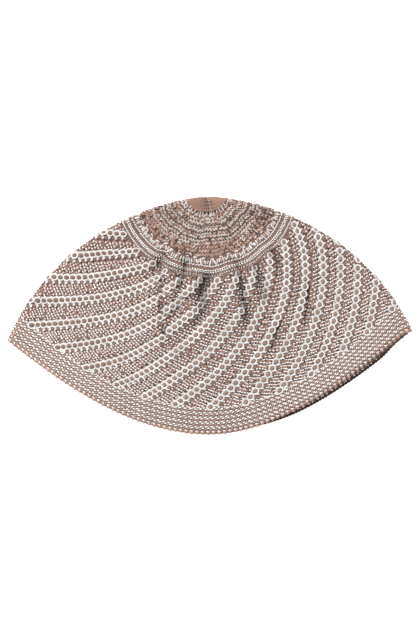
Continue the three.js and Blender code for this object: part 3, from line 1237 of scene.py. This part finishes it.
@dataclass
class CrownRing(KnitZone):
    """The ring that the side wall is gathered into: a row of arches over plain and dashed rows."""

    backing_rows: int = 10
    backing_finish: BackingFinish = RING_BACKING
    wales: int = 96
    rounds: int = 6
    arches: int = 44
    foot_stray: float = 0.1
    arch_stray: float = 0.0015
    arch_turn: float = 0.2
    arch_sizes: Pair = (0.72, 1.18)
    row_stray: float = 0.0006
    row_turn: float = 0.12
    arch_stitches: tuple[ArchStitch, ...] = (
        ArchStitch("arch_brows", BROWN, 3.4, 1.0, 1.0, 0.0, 0.9, 0.5, 0.2607),
        ArchStitch("arch_gaps", HEATHER, 2.8, 1.2, 1.0, DOWN, 0.75, 0.0, 0.2855),
        ArchStitch("arch_centres", TAN, 2.6, 1.4, 1.0, DOWN, 0.65, 0.5, 0.2805),
        ArchStitch("arch_pits", BROWN, 2.0, 1.0, 1.0, 0.0, 0.75, 0.5, 0.2915),
        ArchStitch("arch_left_legs", PALE, 3.7, 1.15, 1.0, DOWN + 0.05, 0.85, 0.25, 0.285),
        ArchStitch("arch_right_legs", PALE, 3.7, 1.15, 1.0, DOWN - 0.05, 0.85, 0.75, 0.285),
        ArchStitch("arch_tops", PALE, 2.9, 1.05, 1.0, 0.0, 0.9, 0.5, 0.2705),
    )
    rows_knitted: tuple[RingRow, ...] = (
        RingRow("base", WHITE, 1.7, 0.95, 1.0, 0.3, 0.95, 0.3012, 1.5),
        RingRow("upper_bars", BROWN, 1.25, 0.6, 1.0, DOWN, 0.8, 0.3072, 1.0),
        RingRow("lower_bars", TAN, 1.2, 0.6, 1.0, DOWN + 0.3, 0.8, 0.313, 1.0),
        RingRow("upper_dashes", SNOW, 1.35, 0.85, 1.0, 0.45, 0.95, 0.3192, 1.25),
        RingRow("lower_dashes", SNOW, 1.35, 0.85, 1.0, -0.45, 0.95, 0.3262, 1.25),
        RingRow("last_bars", TAN, 1.25, 0.6, 1.0, DOWN - 0.3, 0.8, 0.3332, 1.0),
        RingRow("hem_dashes", WHITE, 1.25, 0.75, 1.0, 0.4, 0.95, 0.3405, 1.25),
        RingRow("hem_bars", TAN, 1.2, 0.6, 1.0, DOWN, 1.1, 0.3475, 1.0),
    )
    draw_seed: int = 30
    row_seed: int = 33
    arch_seed: int = 61

    def dress(self) -> None:
        """Knit the arches, what lies in and between them, and the rows below."""
        rng = np.random.default_rng(self.draw_seed)
        count = self.arches
        feet = np.arange(count) + rng.uniform(-self.foot_stray, self.foot_stray, count)
        wide = np.diff(np.append(feet, feet[0] + count))
        for k, kind in enumerate(self.arch_stitches):
            around = (feet + kind.share * wide) / count
            along = kind.along + rng.normal(0.0, self.arch_stray, count)
            slant = kind.slant + rng.normal(0.0, self.arch_turn, count)
            sizes = rng.uniform(*self.arch_sizes, (count, 3))
            self.stitch(kind, self.form.lay(along, around, kind.lift, slant, sizes, seed=self.arch_seed + k))
        for k, row in enumerate(self.rows_knitted):
            t, u = self.spots(row.along, row.pitch, 0.5 * (k % 2))
            slant = row.slant + rng.normal(0.0, self.row_turn, len(u))
            along = t + rng.normal(0.0, self.row_stray, len(u))
            self.stitch(row, self.form.lay(along, u, row.lift, slant, seed=self.row_seed + k))


@dataclass(frozen=True)
class RopeStitch(RowStitch):
    """A stitch beside every cell of a rope: how far down and right of the cell's middle it lies.

    Sinks is the share that it takes of the sinking of the gaps between ropes, skews that of the bars' turn,
    and fades the share of its size that it loses at the left.
    """

    down: float
    right: float
    sinks: float = 0.0
    skews: float = 1.0
    fades: float = 0.0


@dataclass(frozen=True)
class TweedRow(RowStitch):
    """A row of every tweed course: its place in the course, its offset, and the share of stitches kept."""

    shift: float
    offset: float
    kept: float = 1.0


@dataclass(frozen=True)
class Give:
    """How far the ropes move along the round near a fold, as a share of it, and where that is felt."""

    around: float
    shift: float
    reach: float
    ends: Pair


@dataclass
class SideWall(KnitZone):
    """The side wall: honeycomb ropes wound round the cap, with tweed between them.

    Tuck take is how far the ropes are drawn along the round into the tuck, as a share of it. Dots grow and
    rise towards the left, where the ropes are knitted tighter, and there get painted shade that stands for
    the shadow of their borders; their slant is their turn there.
    """

    backing_rows: int = 44
    backing_outer: float = 0.75
    ropes: int = 25
    rope_start: float = 0.4956
    rope_twist: float = 0.344
    hem_top: float = 0.9
    tuck_take: float = 0.012
    tuck_around: Window = (0.28, 0.39, 0.55, 0.95)
    gives: tuple[Give, ...] = (Give(0.5, 0.012, 0.07, (0.4, 0.6)), Give(0.0, -0.013, 0.1, (0.5, 0.75)))
    tighter_around: Pair = (0.28, 0.42)
    first_cell: float = 0.3515
    cells: int = 28
    cell_taper: float = 0.8
    cell_sizes: Pair = (0.92, 1.08)
    cell_stray: float = 0.08
    rope_half: float = 2.75
    rope_at_ring: float = 0.92
    rope_full: float = 0.58
    gather_sink: float = 0.35
    gather_ends: float = 0.56
    link: Stitch = Stitch(
        "rope_links", PALE, 3.8, 3.6, 1.12, -0.3, 1.0, shape=Shape.LINK, sag=0.12, sides=5, steps=1
    )
    dot: Stitch = Stitch("rope_dots", DOT, 2.75, 2.65, 1.8, 0.35, 0.85, sides=7)
    left_dot_growth: Pair = (0.3, 0.13)
    left_dot_rise: float = 0.1
    left_dot_painted_shade: float = 0.52
    bar_turn: float = 0.65
    rope_stitches: tuple[RopeStitch, ...] = (
        RopeStitch("rope_upper_bars", WHITE, 2.7, 1.25, 1.2, 0.0, 1.05, -0.85, -1.85, fades=0.3),
        RopeStitch("rope_lower_bars", WHITE, 2.6, 1.2, 1.2, 0.0, 1.05, 0.6, 1.8, fades=0.3),
        RopeStitch("rope_arms", WHITE, 1.5, 1.12, 1.0, -2.19, 1.05, 0.1, 2.8, 0.4, -2.2, -0.5),
        RopeStitch("rope_half_dots", HALF_DOT, 2.2, 1.7, 1.4, 0.7, 0.95, -1.76, 3.05, 0.5, fades=0.2),
        # The pits are grains of painted shadow in the notches beside each cell
        RopeStitch("rope_left_pits", SHADOW, 1.4, 1.3, 1.0, 0.0, 1.1, -1.35, -3.35, 0.8, steps=3),
        RopeStitch("rope_right_pits", SHADOW, 1.1, 1.3, 1.0, 0.0, 1.05, -0.72, 3.67, 0.8, steps=3),
    )
    stitch_sizes: Pair = (0.85, 1.15)
    stitch_lift: float = 0.06
    rope_stitch_turn: float = 0.12
    half_dot_off: float = 2.65
    half_dot_room: float = 0.75
    tweed_pitch: float = 2.05
    tweed_slope: float = 0.26
    tweed_tuck: float = 0.4
    tweed_turn: float = 0.15
    tweed_stray_along: float = 0.04
    tweed_stray_around: float = 0.06
    tweed_stretch: Pair = (0.7, 1.15)
    narrowest_gap: float = 0.6
    early_courses: int = 4
    # The pit rows are grains of painted shadow in the gaps between the tweed's stitches
    tweed: tuple[TweedRow, ...] = (
        TweedRow("tweed_tan", COPPER, 1.8, 0.78, 0.85, 0.1, 1.0, 0.0, 0.25, steps=3),
        TweedRow("tweed_tan_pits", SHADOW, 0.95, 0.75, 0.85, 0.0, 1.0, 0.02, -0.25, 0.7, steps=3),
        TweedRow("tweed_white_over", SNOW, 1.55, 0.82, 0.85, -0.2, 1.15, 0.25, 0.05, 0.97),
        TweedRow("tweed_low_tan", COPPER, 1.3, 0.75, 0.85, 0.1, 1.0, 0.5, -0.25, steps=3),
        TweedRow("tweed_low_pits", SHADOW, 1.2, 0.8, 0.85, 0.0, 1.05, 0.5, 0.25, 0.9, steps=3),
        TweedRow("tweed_white_under", SNOW, 1.55, 0.82, 0.85, -0.2, 1.1, 0.75, -0.15, 0.95),
    )
    rope_draw_seed: int = 40
    link_seed: int = 41
    dot_seed: int = 42
    tweed_draw_seed: int = 43
    tweed_seed: int = 44
    rope_stitch_seed: int = 45

    def sunk(self, along: Values) -> Array:
        """How far the gaps between ropes sink where the wall gathers into the ring."""
        return self.gather_sink * (1 - smooth(along, self.start, self.gather_ends))

    def relief(self, along: Array, around: Array) -> Array:
        """Height of the backing, which sinks with the gaps."""
        return -self.sunk(along)

    def rope_around(self, along: Values, rope: Array | int) -> Array:
        """Place round the cap of a rope's middle, drawn on towards the tuck and, near the ring, to the folds.

        Args:
            along: places along the cap.
            rope: which rope.

        Returns:
            Places round the cap.
        """
        even = self.rope_start + rope / self.ropes - self.rope_twist * (self.hem_top - along)
        place = even - self.tuck_take * window(even % 1.0, *self.tuck_around)
        for give in self.gives:
            off = (even + (0.5 - give.around)) % 1.0 - 0.5
            place = place + give.shift * bell(off, give.reach) * (1 - smooth(along, *give.ends))
        return place

    def cell_steps(self) -> Array:
        """Lengths along the cap of a rope's cells, which shorten towards the hem."""
        steps = np.geomspace(1.0, self.cell_taper, self.cells)
        return steps * (self.end - self.first_cell) / steps.sum()

    def cell_places(self) -> Array:
        """Places along the cap of the middles of a rope's cells."""
        steps = self.cell_steps()
        return self.first_cell + np.cumsum(steps) - steps / 2

    def wind(self, along: Values) -> Array:
        """Angle of the ropes from straight down the cap, in radians."""
        return np.arctan2(self.form.round_length(along) * self.rope_twist, self.form.middle_length)

    def beside(self, along: Values, around: Values, down: Values, right: Values) -> tuple[Array, Array]:
        """Places off the middle of a rope.

        Args:
            along: places along the cap.
            around: places round it.
            down: how far off along the rope towards the hem, in millimetres.
            right: how far off square across the rope to the right.

        Returns:
            Places along and around.
        """
        wind = self.wind(along)
        drop = down * np.cos(wind) + right * np.sin(wind)
        left = down * np.sin(wind) - right * np.cos(wind)
        return along + drop / self.form.middle_length, around + left / self.form.round_length(along)

    def room(self, along: Values) -> Array:
        """Share of their full width that the ropes have, which are narrower where they leave the ring."""
        return self.rope_at_ring + (1 - self.rope_at_ring) * smooth(along, self.start, self.rope_full)

    def leftward(self, around: Array) -> Array:
        """Share of the way to the left, where the ropes are knitted tighter."""
        return smooth(around % 1.0, *self.tighter_around)

    def on_wall(self, along: Array) -> Array:
        """Which places lie between the ring and the hem band."""
        return (along > self.first_cell) & (along < self.end)

    def dress(self) -> None:
        """Knit the ropes, their dots and the tweed."""
        self._knit_ropes()
        self._knit_tweed()

    def _knit_ropes(self) -> None:
        """Knit a white link and a tan dot for every cell, with bars, half dots and pits beside them."""
        rng = np.random.default_rng(self.rope_draw_seed)
        along = np.tile(self.cell_places(), self.ropes)
        around = self.rope_around(along, np.repeat(np.arange(self.ropes), self.cells))
        count = len(along)
        pitch = np.tile(self.cell_steps(), self.ropes) * self.form.middle_length / np.cos(self.wind(along))
        room = self.room(along)
        sizes = np.stack([pitch / self.link.length, room, np.ones(count)], axis=1)
        sizes *= rng.uniform(*self.cell_sizes, (count, 3))
        turn = self.link.slant + rng.normal(0.0, self.cell_stray, count)
        lift = self.link.lift + rng.normal(0.0, self.cell_stray, count)
        links = self.form.lay(along, around, lift, turn, sizes, self.rope_twist, self.link_seed)
        self.stitch(self.link, links)
        left = self.leftward(around)
        sizes[:, :2] *= 1 + left[:, None] * self.left_dot_growth
        lift = self.dot.lift + self.left_dot_rise * left
        slant = turn + self.dot.slant * left
        dots = self.form.lay(along, around, lift, slant, sizes, self.rope_twist, self.dot_seed)
        # Dots towards the left get painted shade, standing for the shadow of their borders
        self.stitch(self.dot, replace(dots, painted_shades=np.maximum(dots.painted_shades, self.left_dot_painted_shade * left)))
        for k, kind in enumerate(self.rope_stitches):
            t, u = self.beside(along, around, kind.down, kind.right * room)
            left = self.leftward(u)
            lift = kind.lift - kind.sinks * self.sunk(t) + rng.normal(0.0, self.stitch_lift, count)
            slant = kind.slant - kind.skews * self.bar_turn * (1 - left)
            slant = slant + rng.normal(0.0, self.rope_stitch_turn, count)
            sizes = rng.uniform(*self.stitch_sizes, (count, 3)) * room[:, None]
            sizes *= 1 - kind.fades * left[:, None]
            t, u, lift, slant, sizes = (part[self.on_wall(t)] for part in (t, u, lift, slant, sizes))
            seed = self.rope_stitch_seed + k
            self.stitch(kind, self.form.lay(t, u, lift, slant, sizes, self.rope_twist, seed))

    def _knit_tweed(self) -> None:
        """Knit the tweed's rows, which run from a rope's half dots down to the next rope at the right."""
        rng = np.random.default_rng(self.tweed_draw_seed)
        steps, places = self.cell_steps(), self.cell_places()
        early = places[0] - steps[0] * np.arange(self.early_courses, 0, -1)
        places = np.concatenate([early, places])
        steps = np.concatenate([np.full(self.early_courses, steps[0]), steps])
        for row in self.tweed:
            stitches = [self._tweed_course(place, step, row, rng) for place, step in zip(places, steps)]
            t, u, wide = (np.concatenate(part) for part in zip(*stitches))
            kept = self.on_wall(t) & (rng.random(len(t)) < row.kept)
            sizes = rng.uniform(*self.stitch_sizes, (len(t), 3))
            sizes[:, 0] *= np.clip(wide / self.tweed_pitch, *self.tweed_stretch)
            slant = row.slant + rng.normal(0.0, self.tweed_turn, len(t))
            lift = row.lift - self.sunk(t) + rng.normal(0.0, self.stitch_lift, len(t))
            t, u, lift, slant, sizes = (part[kept] for part in (t, u, lift, slant, sizes))
            self.stitch(row, self.form.lay(t, u, lift, slant, sizes, seed=self.tweed_seed))

    def _tweed_course(
        self, place: float, step: float, row: TweedRow, rng: np.random.Generator
    ) -> tuple[Array, Array, Array]:
        """One row of one course of tweed, in all the gaps between ropes.

        Args:
            place: where the course's cells lie along the cap.
            step: how long they are.
            row: which row.
            rng: where the stitches' strays are drawn from.

        Returns:
            Places along and around, and the room for each stitch.
        """
        whole = float(self.form.round_length(place))
        upright = math.cos(float(self.wind(place)))
        square = float(self.room(place)) / upright
        right = (self.rope_half - self.tweed_tuck) * square
        left = (self.rope_half + self.half_dot_room) * square
        gap = max(whole / self.ropes - left - right, self.narrowest_gap)
        count = max(1, round(gap / self.tweed_pitch))
        share = (np.arange(count) + 0.5 + row.offset) / count
        half_cell = -step * self.form.middle_length / upright / 2
        start, off = self.beside(place, 0.0, half_cell, self.half_dot_off)
        run = left + (1 - share) * gap + float(off) * whole
        t = np.tile(start + row.shift * step + self.tweed_slope * run / self.form.middle_length, self.ropes)
        t = t + rng.normal(0.0, self.tweed_stray_along * step, len(t))
        rope = np.repeat(np.arange(self.ropes), count)
        u = self.rope_around(t, rope) + np.tile(right + share * gap, self.ropes) / whole
        u = u + rng.normal(0.0, self.tweed_stray_around * gap / count / whole, len(u))
        return t, u, np.full(len(t), gap / count)


@dataclass(frozen=True)
class HemRow(RowStitch):
    """A kind of hem stitch: its first round, how many rounds, and its offset in stitches."""

    first: float
    rounds: int
    offset: float = 0.0


@dataclass
class HemBand(KnitZone):
    """The hem band: rounds of paired white strokes with tan ones between, and a beaded edge."""

    backing_rows: int = 12
    backing_finish: BackingFinish = HEM_BACKING
    wales: int = 164
    rounds: int = 5
    stitches: int = 171
    row_lean: float = -0.1
    row_pitch: float = 0.0194
    row_turn: float = 0.1
    row_sizes: Pair = (0.88, 1.12)
    rows_knitted: tuple[HemRow, ...] = (
        HemRow("white_upper", SNOW, 1.9, 0.98, 1.0, 0.2, 0.95, 0.8915, 5, 0.165),
        HemRow("white_lower", SNOW, 1.9, 0.98, 1.0, 0.2, 0.95, 0.898, 5, -0.165),
        HemRow("tan_upper", TAN, 1.3, 0.8, 0.9, 0.4, 0.87, 0.8915, 5, 0.665, steps=3),
        HemRow("tan_lower", TAN, 1.3, 0.8, 0.9, 0.4, 0.87, 0.898, 5, 0.335, steps=3),
        HemRow("tan", TAN, 2.0, 0.9, 1.0, 0.3, 0.9, 0.9045, 5, 0.5),
        HemRow("umber", UMBER, 1.2, 0.7, 0.8, 0.1, 0.95, 0.9045, 5, steps=3),
        HemRow("last_white", WHITE, 2.0, 1.2, 1.0, -0.4, 0.75, 0.9895, 1),
        HemRow("edge", TAN, 2.0, 2.1, 1.9, DOWN, 0.2, 0.9965, 1),
    )
    # Its umber colour is painted shade under the upper layer's hem
    lower_edge: Stitch = Stitch("lower_edge", UMBER, 2.4, 2.0, 1.8, 0.0, 0.0)
    lower_edge_along: float = 0.995
    lower_edge_above: float = 0.97
    lower_edge_around: Pair = (0.75, 0.98)
    lower_edge_pitch: float = 1.9
    lower_edge_out: float = 1.7
    lower_edge_shows: Window = (0.76, 0.86, 0.95, 0.98)
    draw_seed: int = 50
    row_seed: int = 51
    lower_edge_seed: int = 59

    def dress(self) -> None:
        """Knit the rounds and the edge."""
        rng = np.random.default_rng(self.draw_seed)
        even = np.arange(self.stitches) / self.stitches
        for k, row in enumerate(self.rows_knitted):
            along = np.repeat(row.first + self.row_pitch * np.arange(row.rounds), self.stitches)
            lean = self.row_lean * (along - self.start) / self.row_pitch + row.offset
            around = np.tile(even, row.rounds) + lean / self.stitches
            slant = row.slant + rng.normal(0.0, self.row_turn, len(along))
            sizes = rng.uniform(*self.row_sizes, (len(along), 3))
            self.stitch(row, self.form.lay(along, around, row.lift, slant, sizes, seed=self.row_seed + k))
        self._lower_edge()

    def _lower_edge(self) -> None:
        """Bead the lower layer's edge, which peeps out at the right, in umber as painted shade under the
        upper layer.
        """
        first, last = self.lower_edge_around
        count = round((last - first) * float(self.form.round_length(1.0)) / self.lower_edge_pitch)
        around = np.linspace(first, last, count)
        along = np.full(count, self.lower_edge_along)
        plan = self.form.lay(along, around, self.lower_edge.lift, seed=self.lower_edge_seed)
        above, _ = self.form.surface(np.full(count, self.lower_edge_above), around)
        outward = unit((self.form.surface(along, around)[0] - above) * (1.0, 1.0, 0.0))
        out = self.lower_edge_out * window(around, *self.lower_edge_shows)
        plan.points += outward * out[:, None] * MM
        self.stitch(self.lower_edge, plan)


@dataclass
class Studio:
    """Pale floor, soft light and the camera straight above."""

    focal: float = 85.0
    sensor: float = 36.0
    view_end: float = 10.0
    fill: float = 0.4
    key_power: float = 126.0
    key_size: float = 0.7
    key_place: Triple = (-0.9, 1.3, 2.25)
    floor_reach: float = 2.0
    floor_finish: FloorFinish = PALE_FLOOR

    def floor(self) -> None:
        """Lay the pale floor."""
        reach = self.floor_reach
        corners = [(-reach, -reach, 0), (reach, -reach, 0), (reach, reach, 0), (-reach, reach, 0)]
        mesh = bpy.data.meshes.new("floor")
        mesh.from_pydata(corners, [], [(0, 1, 2, 3)])
        mesh.materials.append(self.floor_finish.material())
        place_object("floor", mesh)

    def light(self) -> None:
        """Hang one large soft light at the upper left, with an even fill all round."""
        world = bpy.data.worlds.new("studio")
        world.use_nodes = True
        sky = {"Color": (1.0, 1.0, 1.0, 1.0), "Strength": self.fill}
        feed(world.node_tree, world.node_tree.nodes["Background"], sky)
        bpy.context.scene.world = world
        lamp = bpy.data.lights.new("key", "AREA")
        lamp.energy = self.key_power
        lamp.size = self.key_size
        key = place_object("key", lamp)
        key.location = self.key_place
        key.rotation_euler = (Vector((0, 0, 0)) - key.location).to_track_quat("-Z", "Y").to_euler()
        bpy.context.scene.view_settings.view_transform = "Standard"

    def camera(self) -> None:
        """Set the camera so that the cap fills the frame as it does in the picture."""
        pixel = (CAD_HIGH.x - CAD_LOW.x) / CAP_WIDTH_PX
        lens = bpy.data.cameras.new("camera")
        lens.lens = self.focal
        lens.sensor_width = self.sensor
        lens.clip_end = self.view_end
        camera = place_object("camera", lens)
        off_x = (PICTURE_WIDTH / 2 - CAP_CENTRE_PX[0]) * pixel
        off_y = (CAP_CENTRE_PX[1] - PICTURE_HEIGHT / 2) * pixel
        distance = PICTURE_HEIGHT * pixel / self.sensor * self.focal
        camera.location = (off_x, off_y, distance)
        camera.rotation_euler = (0.0, 0.0, -CAP_ROLL)
        bpy.context.scene.camera = camera


def main() -> None:
    """Build the cap zone by zone, then the studio."""
    logging.basicConfig(level=logging.INFO, format="%(message)s")
    form = CapForm()
    zones: list[KnitZone] = [
        CrownCentre(form, "crown_centre", start=0.0, end=0.0812),
        Crown(form, "crown", start=0.085, end=0.2562),
        CrownRing(form, "crown_ring", start=0.26, end=0.3412),
        SideWall(form, "side_wall", start=0.345, end=0.8962),
        HemBand(form, "hem_band", start=0.9, end=1.0),
    ]
    for zone in zones:
        zone.backing()
        zone.dress()
    studio = Studio()
    studio.floor()
    studio.light()
    studio.camera()


if __name__ == "__main__":
    main()
